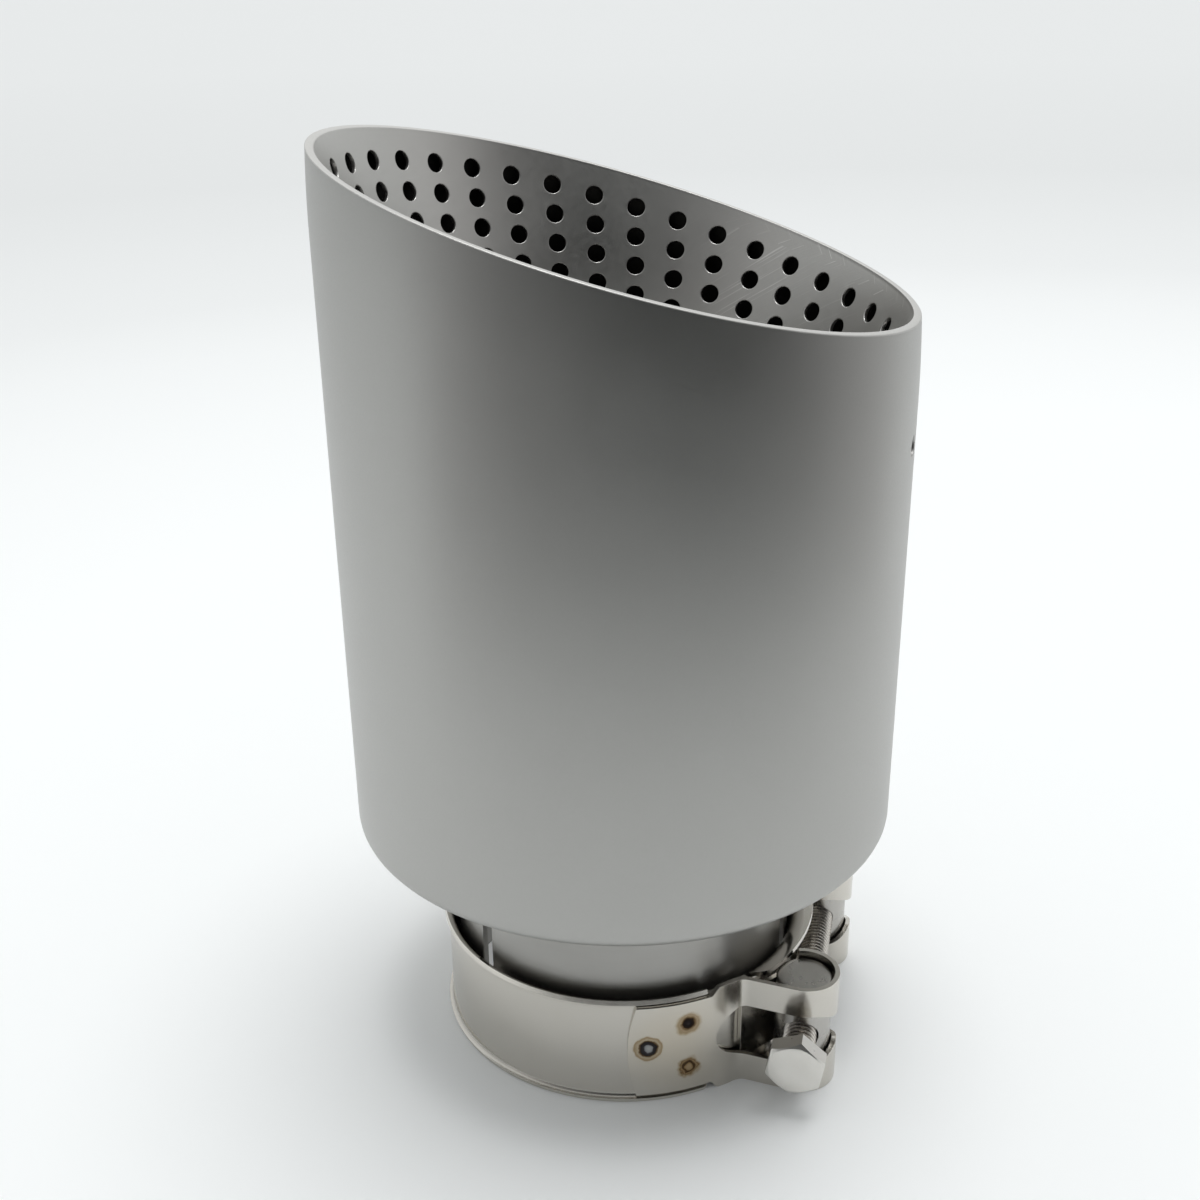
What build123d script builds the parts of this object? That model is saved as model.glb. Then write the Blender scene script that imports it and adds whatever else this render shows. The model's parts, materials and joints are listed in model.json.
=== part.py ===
from build123d import *
import os
from math import acos, asin, atan2, cos, degrees, hypot, radians, sin, sqrt, tan

# Exhaust tip standing on its inlet end: the tube axis is Z and the inlet end is at Z = 0.
# The mouth is cut on a slant, high towards -X and low towards +X.
# Driving dimensions, in millimetres and degrees.

# Outer sleeve
sleeve_outer_r = 50.5
sleeve_wall = 0.8
sleeve_base_z = 44.4
sleeve_base_bevel = 1.6
mouth_mid_z = 153.4
mouth_tilt = 15.9
drain_hole_d = 3.6
drain_hole_z = 119.0
drain_hole_angle = -9.0

# Inlet neck
neck_inner_r = 31.5
neck_wall = 1.2
neck_top_z = 102.0
slot_width = 3.0
slot_length = 38.0
slot_count = 3
slot_angle = -132.0

# Perforated funnel
funnel_wall = 0.7
hole_d = 3.6
hole_sides = 7
hole_columns = 36
hole_rows = 4
first_row_depth = 5.95
row_pitch = 5.35
first_column_angle = 185.0

# Clearance between sheets that lie on each other
sheet_gap = 0.05

# Band clamp: it is symmetrical about an upright plane turned by clamp_angle
clamp_angle = -3.0
band_width = 22.7
band_thickness = 0.9
band_gap_half_angle = 37.0
band_flare = 1.0
band_flare_height = 1.3
band_flare_end_angle = 52.0

# Bridge tongue that spans the gap of the band
tongue_thickness = 0.8
tongue_to_neck = 0.3
tongue_flare = 4.0
tongue_flare_height = 3.2
tongue_half_angle = 36.0
tongue_tab_half_angle = 50.0

# Loop straps
strap_thickness = 0.9
plate_inset = 1.65
plate_end_angle = 77.0
plate_end_round_r = 30.0
plate_leave_angle = 44.5
shoulder_angle = 50.0
arm_bend_r = 4.0
return_width = 14.4
return_tail_angle = 1.0
return_nest_depth = 0.6
window_width = 11.0
window_start_angle = 50.4
window_reach = 7.0

# Trunnions
trunnion_d = 10.3
trunnion_length = 20.3
trunnion_half_angle = 26.3
loop_clearance = 0.35
loop_standoff = 1.15

# Bolt
bolt_d = 6.0
bolt_thread_clearance = 0.06
bolt_through_clearance = 0.35
bolt_length = 57.0
bolt_slack = 5.6
bolt_head_width = 10.0
bolt_head_height = 3.5
bolt_head_turn = 40.0

# Sizes that follow from the driving dimensions
sleeve_inner_r = sleeve_outer_r - sleeve_wall
sleeve_inner_bevel = sleeve_base_bevel - sleeve_wall * (2 - sqrt(2))
neck_outer_r = neck_inner_r + neck_wall
neck_hole_r = neck_outer_r + sheet_gap
funnel_mouth_r = (sleeve_inner_r - sheet_gap) * cos(radians(180 / hole_columns))
funnel_foot_z = neck_top_z + sheet_gap
mouth_slope = tan(radians(mouth_tilt))
mouth_high_z = mouth_mid_z + sleeve_outer_r * mouth_slope
tongue_mid_r = neck_outer_r + tongue_to_neck + tongue_thickness / 2
band_mid_r = tongue_mid_r + tongue_thickness / 2 + sheet_gap + band_thickness / 2
band_mid_z = band_width / 2
plate_width = band_width - 2 * plate_inset
strap_mid_r = band_mid_r + band_thickness / 2 + sheet_gap + strap_thickness / 2
strap_outer_r = strap_mid_r + strap_thickness / 2
loop_mid_r = trunnion_d / 2 + loop_clearance + strap_thickness / 2
trunnion_circle_r = strap_mid_r + loop_standoff + loop_mid_r
trunnion_x = trunnion_circle_r * cos(radians(trunnion_half_angle))
trunnion_y = trunnion_circle_r * sin(radians(trunnion_half_angle))
bolt_seat_y = -trunnion_y - trunnion_d / 2 - bolt_slack

mouth_plane = Plane((0, 0, mouth_mid_z), x_dir=(1, 0, -mouth_slope), z_dir=(mouth_slope, 0, 1))
clamp_plane = Plane.XY.rotated((0, 0, clamp_angle))
clamp_side_plane = Plane.XZ.rotated((0, 0, clamp_angle))


def polar(radius, angle):
    """A point in a plane, from its radius and its angle in degrees."""
    return radius * cos(radians(angle)), radius * sin(radians(angle))


def radial_plane(angle):
    """The upright plane through the tube axis whose X runs outwards at an angle and Y runs up."""
    outward_x, outward_y = polar(1, angle)
    return Plane((0, 0, 0), x_dir=(outward_x, outward_y, 0), z_dir=(outward_y, -outward_x, 0))


def outward_plane(angle):
    """The upright plane on the tube axis that faces outwards at an angle, with Y running up."""
    outward_x, outward_y = polar(1, angle)
    return Plane((0, 0, 0), x_dir=(-outward_y, outward_x, 0), z_dir=(outward_x, outward_y, 0))


def funnel_facet(column, depth):
    """The flat of the funnel's outside at one column, with its origin at a depth below the mouth."""
    outward_x, outward_y = polar(1, first_column_angle + column * 360 / hole_columns)
    mouth_z = mouth_mid_z - funnel_mouth_r * mouth_slope * outward_x
    lean = (funnel_mouth_r - neck_outer_r) / (mouth_z - funnel_foot_z)
    radius = funnel_mouth_r - lean * depth
    rise = mouth_slope * outward_y * (radius - neck_outer_r) / lean / (mouth_z - funnel_foot_z)
    across = Vector(-outward_y * radius, outward_x * radius, funnel_mouth_r * rise)
    along = Vector(outward_x * lean, outward_y * lean, 1)
    centre = (radius * outward_x, radius * outward_y, mouth_z - depth)
    return Plane(centre, x_dir=across, z_dir=across.cross(along))


def edge_trim(start_angle, end_angle, width, depth):
    """Two rings that trim a strip of the clamp to a smaller width between two angles."""
    margin = (band_width - width) / 2
    with BuildPart() as trim:
        with BuildSketch(radial_plane(clamp_angle + start_angle)):
            with Locations((band_mid_r, margin / 2), (band_mid_r, band_width - margin / 2)):
                Rectangle(2 * depth, margin)
        revolve(axis=Axis.Z, revolution_arc=end_angle - start_angle)
    return trim.part


# Outer sleeve: a shell turned in at its base down to the neck and cut on a slant
with BuildPart() as outer_sleeve:
    with BuildSketch(Plane.XZ):
        with BuildLine():
            Polyline(
                (neck_hole_r, sleeve_base_z),
                (sleeve_outer_r - sleeve_base_bevel, sleeve_base_z),
                (sleeve_outer_r, sleeve_base_z + sleeve_base_bevel),
                (sleeve_outer_r, mouth_high_z),
                (sleeve_inner_r, mouth_high_z),
                (sleeve_inner_r, sleeve_base_z + sleeve_wall + sleeve_inner_bevel),
                (sleeve_inner_r - sleeve_inner_bevel, sleeve_base_z + sleeve_wall),
                (neck_hole_r, sleeve_base_z + sleeve_wall),
                close=True,
            )
        make_face()
    revolve(axis=Axis.Z)
    split(bisect_by=mouth_plane, keep=Keep.BOTTOM)
    with BuildSketch(outward_plane(drain_hole_angle)):
        with Locations((0, drain_hole_z)):
            Circle(drain_hole_d / 2)
    extrude(amount=sleeve_outer_r + sleeve_wall, mode=Mode.SUBTRACT)

# Inlet neck: a straight tube, slotted at its free end so that the clamp can close it
with BuildPart() as inlet_neck:
    with BuildSketch():
        Circle(neck_outer_r)
        Circle(neck_inner_r, mode=Mode.SUBTRACT)
    extrude(amount=neck_top_z)
    for index in range(slot_count):
        with BuildSketch(outward_plane(slot_angle + index * 360 / slot_count)):
            Rectangle(slot_width, 2 * slot_length)
        extrude(amount=neck_outer_r + neck_wall, mode=Mode.SUBTRACT)

# Perforated funnel: one flat for each column of holes, narrowing from the mouth to the neck
with BuildPart() as funnel_core:
    with BuildSketch(Plane.XY.offset(funnel_foot_z)):
        Circle(sleeve_outer_r)
    extrude(amount=mouth_high_z - funnel_foot_z)
    for column in range(hole_columns):
        facet = funnel_facet(column, first_row_depth + row_pitch)
        split(bisect_by=facet.offset(-funnel_wall), keep=Keep.BOTTOM)

with BuildPart() as perforated_funnel:
    with BuildSketch(Plane.XY.offset(funnel_foot_z)):
        Circle(sleeve_outer_r)
    extrude(amount=mouth_high_z - funnel_foot_z)
    for column in range(hole_columns):
        split(bisect_by=funnel_facet(column, first_row_depth + row_pitch), keep=Keep.BOTTOM)
    split(bisect_by=mouth_plane, keep=Keep.BOTTOM)
    add(funnel_core.part, mode=Mode.SUBTRACT)
    for row in range(hole_rows):
        row_depth = first_row_depth + row * row_pitch
        with BuildSketch(*[funnel_facet(column, row_depth) for column in range(hole_columns)]):
            RegularPolygon(hole_d / 2, hole_sides)
        extrude(amount=2 * funnel_wall, both=True, mode=Mode.SUBTRACT)

# Clamp band: a strip with flared edges, open on the bolt's side
with BuildPart() as clamp_band:
    with BuildSketch(radial_plane(clamp_angle + band_gap_half_angle)):
        edge_drop = band_thickness / 2 * sin(atan2(band_flare, band_flare_height))
        with BuildLine():
            Polyline(
                (band_mid_r + band_flare, edge_drop),
                (band_mid_r, edge_drop + band_flare_height),
                (band_mid_r, band_width - edge_drop - band_flare_height),
                (band_mid_r + band_flare, band_width - edge_drop),
            )
        trace(line_width=band_thickness)
    revolve(axis=Axis.Z, revolution_arc=360 - 2 * band_gap_half_angle)
    # The flared edges stop short of the ends, where the straps are as wide as the band
    flare_trim = edge_trim(-band_flare_end_angle, band_flare_end_angle, plate_width, 3 * band_thickness)
    add(flare_trim, mode=Mode.SUBTRACT)

# Bridge tongue: a curved channel across the gap, with plain tabs that tuck under the band
with BuildPart() as bridge_tongue:
    with BuildSketch(radial_plane(clamp_angle - tongue_half_angle)):
        edge_drop = tongue_thickness / 2 * sin(atan2(tongue_flare, tongue_flare_height))
        with BuildLine():
            Polyline(
                (tongue_mid_r + tongue_flare, edge_drop),
                (tongue_mid_r, edge_drop + tongue_flare_height),
                (tongue_mid_r, band_width - edge_drop - tongue_flare_height),
                (tongue_mid_r + tongue_flare, band_width - edge_drop),
            )
        trace(line_width=tongue_thickness)
    revolve(axis=Axis.Z, revolution_arc=2 * tongue_half_angle)
    with BuildSketch(radial_plane(clamp_angle - tongue_tab_half_angle)):
        with Locations((tongue_mid_r, band_mid_z)):
            Rectangle(tongue_thickness, return_width)
    revolve(axis=Axis.Z, revolution_arc=2 * tongue_tab_half_angle)

# Where the arm leaves the plate for the loop, and where the loop comes back onto the band
bend_x, bend_y = polar(strap_mid_r + arm_bend_r, -plate_leave_angle)
reach_x, reach_y = trunnion_x - bend_x, -trunnion_y - bend_y
arm_crossing = asin((arm_bend_r + loop_mid_r) / hypot(reach_x, reach_y))
arm_angle = degrees(atan2(reach_y, reach_x) - arm_crossing)
return_crossing = degrees(acos((strap_mid_r + loop_mid_r) / trunnion_circle_r))
return_angle = -trunnion_half_angle - return_crossing
loop_start = Vector(trunnion_x, -trunnion_y) + Vector(*polar(loop_mid_r, arm_angle - 90))
loop_end = Vector(trunnion_x, -trunnion_y) + Vector(*polar(loop_mid_r, return_angle + 180))
return_start = Vector(*polar(strap_mid_r, return_angle))


# Loop strap on the bolt head's side: a plate on the band that leaves it, goes round the
# trunnion in two arms and comes back onto the band underneath
with BuildPart() as head_loop_strap:
    # The loop and its returning end, which passes between the tongue's flared edges
    with BuildSketch(clamp_plane):
        with BuildLine():
            CenterArc((trunnion_x, -trunnion_y), loop_mid_r, arm_angle - 90, return_angle + 270 - arm_angle)
            Line(loop_end, return_start)
            CenterArc((0, 0), strap_mid_r, return_angle, -return_tail_angle)
        trace(line_width=strap_thickness)
    extrude(amount=band_width)
    nest_depth = tongue_flare + return_nest_depth
    add(edge_trim(return_angle - 2 * return_tail_angle, 0, return_width, nest_depth), mode=Mode.SUBTRACT)
    # The plate and the arm
    with BuildSketch(clamp_plane):
        with BuildLine():
            CenterArc((0, 0), strap_mid_r, -plate_end_angle, plate_end_angle - plate_leave_angle)
            bend = CenterArc(
                (bend_x, bend_y),
                arm_bend_r,
                180 - plate_leave_angle,
                arm_angle - (90 - plate_leave_angle),
            )
            Line(bend @ 1, loop_start)
        trace(line_width=strap_thickness)
    extrude(amount=band_width)
    plate_trim = edge_trim(-plate_end_angle - 5, -shoulder_angle, plate_width, 3 * strap_thickness)
    add(plate_trim, mode=Mode.SUBTRACT)
    # Rounded free end of the plate
    with BuildSketch(outward_plane(clamp_angle - plate_end_angle)):
        with Locations((0, band_mid_z)):
            Rectangle(plate_end_round_r / 2, band_width)
        with Locations((plate_end_round_r, band_mid_z)):
            Circle(plate_end_round_r, mode=Mode.SUBTRACT)
    extrude(amount=strap_outer_r + strap_thickness, mode=Mode.SUBTRACT)

# Window that parts the strap into two arms and leaves the returning end whole
with BuildPart() as strap_window:
    window_start_x, _ = polar(strap_outer_r, window_start_angle)
    window_length = trunnion_x + window_reach - window_start_x
    with BuildSketch(clamp_side_plane):
        with Locations((window_start_x + window_length / 2, band_mid_z)):
            SlotOverall(window_length, window_width)
    extrude(amount=trunnion_circle_r)
    with BuildSketch(clamp_plane):
        with BuildLine():
            Line(loop_end, return_start)
            CenterArc((0, 0), strap_mid_r, return_angle, -2 * return_tail_angle)
        trace(line_width=strap_thickness + 2 * sheet_gap)
    extrude(amount=band_width, mode=Mode.SUBTRACT)

with BuildPart() as head_loop_strap_cut:
    add(head_loop_strap.part)
    add(strap_window.part, mode=Mode.SUBTRACT)

with BuildPart() as nut_loop_strap:
    mirror(head_loop_strap_cut.part, about=clamp_side_plane)

bolt_line = Plane(
    clamp_plane.from_local_coords((trunnion_x, bolt_seat_y, band_mid_z)),
    x_dir=clamp_plane.x_dir,
    z_dir=clamp_plane.y_dir,
)


def turn_trunnion(side, hole_clearance):
    """An upright barrel, cross drilled for the bolt, on one side of the clamp's middle plane."""
    with BuildPart() as trunnion:
        with BuildSketch(clamp_plane.offset(band_mid_z - trunnion_length / 2)):
            with Locations((trunnion_x, side * trunnion_y)):
                Circle(trunnion_d / 2)
        extrude(amount=trunnion_length)
        with BuildSketch(bolt_line):
            Circle(bolt_d / 2 + hole_clearance)
        extrude(amount=bolt_length, mode=Mode.SUBTRACT)
    return trunnion


head_trunnion = turn_trunnion(-1, bolt_through_clearance)
nut_trunnion = turn_trunnion(1, bolt_thread_clearance)

# Bolt: a hexagon head in front of the head trunnion, screwed into the nut trunnion
with BuildPart() as clamp_bolt:
    with BuildSketch(bolt_line):
        RegularPolygon(bolt_head_width / 2, 6, major_radius=False, rotation=bolt_head_turn)
    extrude(amount=-bolt_head_height)
    with BuildSketch(bolt_line):
        Circle(bolt_d / 2)
    extrude(amount=bolt_length)

os.makedirs("parts", exist_ok=True)
for piece, name in (
    (outer_sleeve, "outer_sleeve"),
    (inlet_neck, "inlet_neck"),
    (perforated_funnel, "perforated_funnel"),
    (clamp_band, "clamp_band"),
    (bridge_tongue, "bridge_tongue"),
    (head_loop_strap_cut, "head_loop_strap"),
    (nut_loop_strap, "nut_loop_strap"),
    (head_trunnion, "head_trunnion"),
    (nut_trunnion, "nut_trunnion"),
    (clamp_bolt, "clamp_bolt"),
):
    piece.part.label = name
    export_step(piece.part, f"parts/{name}.step")
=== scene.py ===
import json
from math import acos, asin, atan2, cos, degrees, hypot, pi, radians, sin, sqrt, tan

import bmesh
import bpy
from mathutils import Matrix, Vector

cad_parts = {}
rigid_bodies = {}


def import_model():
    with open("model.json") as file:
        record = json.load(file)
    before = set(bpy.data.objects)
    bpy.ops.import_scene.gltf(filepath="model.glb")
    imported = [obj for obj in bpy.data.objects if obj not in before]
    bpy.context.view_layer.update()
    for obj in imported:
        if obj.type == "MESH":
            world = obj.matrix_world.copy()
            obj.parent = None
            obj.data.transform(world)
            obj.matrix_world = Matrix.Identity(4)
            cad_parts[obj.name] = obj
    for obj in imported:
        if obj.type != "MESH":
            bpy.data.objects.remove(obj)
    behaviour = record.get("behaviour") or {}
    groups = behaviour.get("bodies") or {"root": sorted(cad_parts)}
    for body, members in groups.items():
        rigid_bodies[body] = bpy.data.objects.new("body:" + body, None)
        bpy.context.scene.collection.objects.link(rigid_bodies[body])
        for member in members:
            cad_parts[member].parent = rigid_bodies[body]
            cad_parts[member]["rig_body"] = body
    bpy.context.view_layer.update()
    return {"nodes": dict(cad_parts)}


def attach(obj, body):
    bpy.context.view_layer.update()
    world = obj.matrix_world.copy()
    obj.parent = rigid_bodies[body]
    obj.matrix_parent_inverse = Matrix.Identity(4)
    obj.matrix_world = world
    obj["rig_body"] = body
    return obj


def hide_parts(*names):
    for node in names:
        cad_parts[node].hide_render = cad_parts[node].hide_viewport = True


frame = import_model()

# Sizes are in millimetres and degrees, in the frame of the CAD part: the tube axis is Z and the
# inlet end is at Z = 0. Meshes are scaled to metres when they are finished.
MM = 0.001
# Points closer than this are one point
weld_distance = 0.0005
# Edges that bend more than this are sharp, and on the large tubes more than the second
crease_angle = 38.0
tube_crease_angle = 50.0

# Outer sleeve
sleeve_outer_r = 50.5
sleeve_wall = 0.8
sleeve_base_z = 44.4
sleeve_bend_r = 2.4
mouth_mid_z = 153.4
mouth_slope = tan(radians(15.9))
mouth_curl = 0.45
mouth_curl_height = 14.0
rim_seam_depth = 1.7
rim_outer_round = 0.22
rim_inner_round = 0.2
drain_hole_d = 3.6
drain_hole_z = 119.0
drain_hole_angle = -9.0

# Inlet neck
neck_inner_r = 31.5
neck_wall = 1.2
neck_top_z = 102.0
neck_edge_round = 0.18
slot_width = 3.0
slot_length = 38.0
slot_count = 3
slot_angle = -132.0

# Perforated funnel
funnel_wall = 0.7
hole_d = 3.5
hole_columns = 36
hole_rows = 4
first_row_depth = 5.95
row_pitch = 5.35
first_column_angle = 185.0
hole_edge_round = 0.11
hole_land = 0.1
# The long scratches start and are full at these distances towards the mouth's low side
sanded_from_x = 4.0
sanded_full_x = 22.0
sanding_turn = -32.0

# Band clamp
sheet_gap = 0.05
clamp_angle = -3.0
band_width = 22.7
band_thickness = 0.9
band_gap_half_angle = 37.0
band_lip_bend_r = 1.3
band_lip_turn = 72.0
band_lip_straight = 0.3
band_lip_end_angle = 52.0
band_lip_end_run = 2.0
band_edge_round = 0.25
tongue_thickness = 0.8
tongue_to_neck = 0.3
tongue_flange_bend_r = 4.2
tongue_flange_turn = 84.0
tongue_flange_straight = 0.5
tongue_half_angle = 36.0
tongue_tab_half_angle = 50.0
tongue_corner_r = 2.6
strap_thickness = 0.9
plate_inset = 1.65
plate_end_angle = 77.0
plate_end_round_r = 30.0
plate_end_run = 9.0
plate_leave_angle = 44.5
shoulder_angle = 50.2
shoulder_length = 1.8
arm_bend_r = 4.0
return_width = 14.4
return_tail_angle = 1.0
return_nest_r = 38.35
return_step_run = 0.5
strap_edge_round = 0.3
window_width = 11.0
window_start_angle = 50.4
window_reach = 7.0
plate_lift = 0.3
plate_lift_angle = 55.0
plate_lift_run = 3.0
trunnion_d = 10.3
trunnion_length = 20.3
trunnion_edge = 0.5
trunnion_half_angle = 26.3
loop_clearance = 0.35
loop_standoff = 1.15

# Bolt
bolt_d = 6.0
bolt_pitch = 1.0
bolt_thread_depth = 0.6
bolt_thread_clearance = 0.06
bolt_through_clearance = 0.35
bolt_length = 57.0
bolt_slack = 5.6
bolt_tip_bevel = 0.8
bolt_thread_sink = 0.1
bolt_head_width = 9.8
bolt_head_height = 3.5
bolt_head_turn = 40.0
bolt_head_face_d = 9.3
bolt_head_bevel_angle = 30.0
bolt_head_edge_width = 0.25
bolt_head_edge_height = 0.2
bolt_head_seat_inset = 0.3

# Spot welds of a strap's plate: angle from the clamp's middle plane, height, and look
spot_welds = ((58.9, 16.5, "dark"), (70.9, 12.2, "blue"), (58.6, 6.6, "brown"))
spot_weld_r = 2.9

# Tints from the middle of a weld outwards, at shares of its radius
weld_looks = {
    "blue": (
        (0.00, (0.62, 0.68, 0.78)),
        (0.17, (0.50, 0.55, 0.64)),
        (0.27, (0.07, 0.07, 0.09)),
        (0.48, (0.045, 0.042, 0.045)),
        (0.58, (0.24, 0.17, 0.10)),
        (0.67, (0.72, 0.65, 0.54)),
        (0.79, (0.62, 0.53, 0.40)),
        (0.87, (0.50, 0.39, 0.26)),
        (0.93, (0.84, 0.79, 0.71)),
        (1.00, (1.0, 1.0, 1.0)),
    ),
    "dark": (
        (0.00, (0.075, 0.065, 0.08)),
        (0.26, (0.030, 0.026, 0.028)),
        (0.40, (0.06, 0.040, 0.028)),
        (0.50, (0.36, 0.26, 0.16)),
        (0.60, (0.62, 0.52, 0.39)),
        (0.71, (0.56, 0.46, 0.33)),
        (0.79, (0.78, 0.71, 0.60)),
        (0.95, (1.0, 1.0, 1.0)),
    ),
    "brown": (
        (0.00, (0.64, 0.52, 0.36)),
        (0.15, (0.50, 0.36, 0.20)),
        (0.26, (0.09, 0.055, 0.035)),
        (0.40, (0.20, 0.13, 0.07)),
        (0.50, (0.56, 0.43, 0.27)),
        (0.60, (0.32, 0.22, 0.13)),
        (0.69, (0.68, 0.58, 0.44)),
        (0.90, (1.0, 1.0, 1.0)),
    ),
}

# Sizes that follow
sleeve_inner_r = sleeve_outer_r - sleeve_wall
neck_outer_r = neck_inner_r + neck_wall
neck_hole_r = neck_outer_r + sheet_gap
funnel_mouth_r = (sleeve_inner_r - sheet_gap) * cos(radians(180 / hole_columns))
funnel_foot_z = neck_top_z + sheet_gap
tongue_mid_r = neck_outer_r + tongue_to_neck + tongue_thickness / 2
band_mid_r = tongue_mid_r + tongue_thickness / 2 + sheet_gap + band_thickness / 2
band_mid_z = band_width / 2
plate_width = band_width - 2 * plate_inset
strap_mid_r = band_mid_r + band_thickness / 2 + sheet_gap + strap_thickness / 2
strap_outer_r = strap_mid_r + strap_thickness / 2
loop_mid_r = trunnion_d / 2 + loop_clearance + strap_thickness / 2
trunnion_circle_r = strap_mid_r + loop_standoff + loop_mid_r
trunnion_x = trunnion_circle_r * cos(radians(trunnion_half_angle))
trunnion_y = trunnion_circle_r * sin(radians(trunnion_half_angle))
bolt_seat_y = -trunnion_y - trunnion_d / 2 - bolt_slack


def polar(radius, angle):
    """A point in a plane, from its radius and its angle in degrees."""
    return radius * cos(radians(angle)), radius * sin(radians(angle))


def spread(start, end, count):
    """Evenly spaced values from start to end, both included."""
    return [start + (end - start) * step / (count - 1) for step in range(count)]


def smooth_step(value):
    """A soft ramp from 0 to 1."""
    value = min(1.0, max(0.0, value))
    return value * value * (3 - 2 * value)


def mouth_z(radius, angle):
    """Height of the slanted mouth plane at a radius and an angle."""
    return mouth_mid_z - mouth_slope * polar(radius, angle)[0]


def from_clamp(x, y, z):
    """A point of the clamp's own frame, whose X points at the bolt, in the part's frame."""
    turn = radians(clamp_angle)
    return x * cos(turn) - y * sin(turn), x * sin(turn) + y * cos(turn), z


# Mesh helpers


def add_face(mesh, corners, flat_points=None, material_index=0, axes=(0, 1)):
    """A face with texture coordinates in metres, along the flat sheet or else along two axes."""
    face = mesh.faces.new(corners)
    face.material_index = material_index
    layer = mesh.loops.layers.uv.verify()
    for index, loop in enumerate(face.loops):
        point = flat_points[index] if flat_points else [loop.vert.co[axis] for axis in axes]
        loop[layer].uv = (point[0] * MM, point[1] * MM)


def join_rings(mesh, rings, axes=(0, 1)):
    """Faces between each ring of vertices and the next."""
    for ring, next_ring in zip(rings, rings[1:]):
        for index in range(len(ring)):
            after = (index + 1) % len(ring)
            add_face(mesh, (ring[index], ring[after], next_ring[after], next_ring[index]), axes=axes)


def add_rings(mesh, rings):
    """A skin over a row of rings of points, with flat ends."""
    made = [[mesh.verts.new(point) for point in ring] for ring in rings]
    join_rings(mesh, made)
    add_face(mesh, made[0][::-1])
    add_face(mesh, made[-1])


def add_sheet(mesh, place, flat, columns, rows, turn=None, kind=None, tint=None):
    """A sheet with a front, a back and walls round its edges.

    place(u, row, side) gives a point, with side 0 on the front and 1 on the back. flat(u, index)
    gives its place on the flat sheet. turn closes the sheet on itself after that much u.
    kind(column, row) names a cell: "sheet", "gap" for an opening with walls, or "hole" for a
    block that add_hole fills. tint(row, side) is a cell's material index.
    """
    kind = kind or (lambda column, row: "sheet")
    tint = tint or (lambda row, side: 0)
    grid = [[[mesh.verts.new(place(u, row, side)) for side in (0, 1)] for row in rows] for u in columns]
    column_count = len(columns) if turn else len(columns) - 1
    row_count = len(rows) - 1

    def cell_kind(column, row):
        if turn:
            column %= column_count
        if 0 <= column < column_count and 0 <= row < row_count:
            return kind(column, row)
        return "gap"

    for column in range(column_count):
        near = grid[column]
        far = grid[(column + 1) % len(columns)]
        near_u = columns[column]
        far_u = columns[column + 1] if column + 1 < len(columns) else columns[0] + turn
        for row in range(row_count):
            if cell_kind(column, row) != "sheet":
                continue
            shade = tint(row, 0)
            a, b = flat(near_u, row), flat(far_u, row)
            c, d = flat(far_u, row + 1), flat(near_u, row + 1)
            front = (near[row][0], far[row][0], far[row + 1][0], near[row + 1][0])
            back = (near[row][1], far[row][1], far[row + 1][1], near[row + 1][1])
            add_face(mesh, front, (a, b, c, d), shade)
            add_face(mesh, back[::-1], (d, c, b, a), tint(row, 1))
            beside = ((column, row - 1), (column + 1, row), (column, row + 1), (column - 1, row))
            for edge, (next_column, next_row) in enumerate(beside):
                if cell_kind(next_column, next_row) == "gap":
                    after = (edge + 1) % 4
                    corners = (front[after], front[edge], back[edge], back[after])
                    points = ((a, b, c, d)[after], (a, b, c, d)[edge])
                    add_face(mesh, corners, points + points[::-1], shade)
    return grid


def unrolled(radius, values):
    """The places of a tube's points on its flat sheet: the way round it, and each row's value."""
    return lambda angle, index: (radians(angle) * radius, values[index])


def hole_rims(wall):
    """Rings round a drilled hole from front to back: extra radius, and depth as a share of the wall."""
    edge = hole_edge_round
    halfway = edge * 0.3
    rims = ((edge + hole_land, 0.0), (edge, 0.0), (halfway, halfway), (0.0, edge), (0.0, wall))
    return [(extra, depth / wall) for extra, depth in rims]


def add_hole(mesh, grid, place_at, block, centre, radius, wall):
    """Fills a square block of cells with a sheet that has a round hole in it.

    block is the block's first column, first row, column values and row values. place_at(u, v, depth)
    gives a point for any u and v, with depth 0 on the front and 1 on the back. centre is the
    hole's u and v.
    """
    first_column, first_row, column_values, row_values = block
    steps = len(column_values) - 1
    border = [(step, 0) for step in range(steps)]
    border += [(steps, step) for step in range(steps)]
    border += [(steps - step, steps) for step in range(steps)]
    border += [(0, steps - step) for step in range(steps)]
    middle = Vector(place_at(*centre, 0))
    nudge = 0.1
    step_u = (Vector(place_at(centre[0] + nudge, centre[1], 0)) - middle) / nudge
    step_v = (Vector(place_at(centre[0], centre[1] + nudge, 0)) - middle) / nudge
    across = step_u.normalized()
    along = (step_v - across * step_v.dot(across)).normalized()
    turns = []
    for column, row in border:
        away = step_u * (column_values[column] - centre[0]) + step_v * (row_values[row] - centre[1])
        turns.append(atan2(away.dot(along), away.dot(across)))
    rings = [[grid[(first_column + i) % len(grid)][first_row + j][0] for i, j in border]]
    for extra, depth in hole_rims(wall):
        ring = []
        for angle in turns:
            move_v = (radius + extra) * sin(angle) / step_v.dot(along)
            move_u = ((radius + extra) * cos(angle) - move_v * step_v.dot(across)) / step_u.length
            ring.append(mesh.verts.new(place_at(centre[0] + move_u, centre[1] + move_v, depth)))
        rings.append(ring)
    rings.append([grid[(first_column + i) % len(grid)][first_row + j][1] for i, j in border])
    join_rings(mesh, rings, axes=(0, 2))


def add_object(name, data):
    """A new object in the scene."""
    made = bpy.data.objects.new(name, data)
    bpy.context.scene.collection.objects.link(made)
    return made


def mesh_object(name, mesh):
    """A new object from a mesh in metres."""
    data = bpy.data.meshes.new(name)
    mesh.to_mesh(data)
    mesh.free()
    return add_object(name, data)


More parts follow.
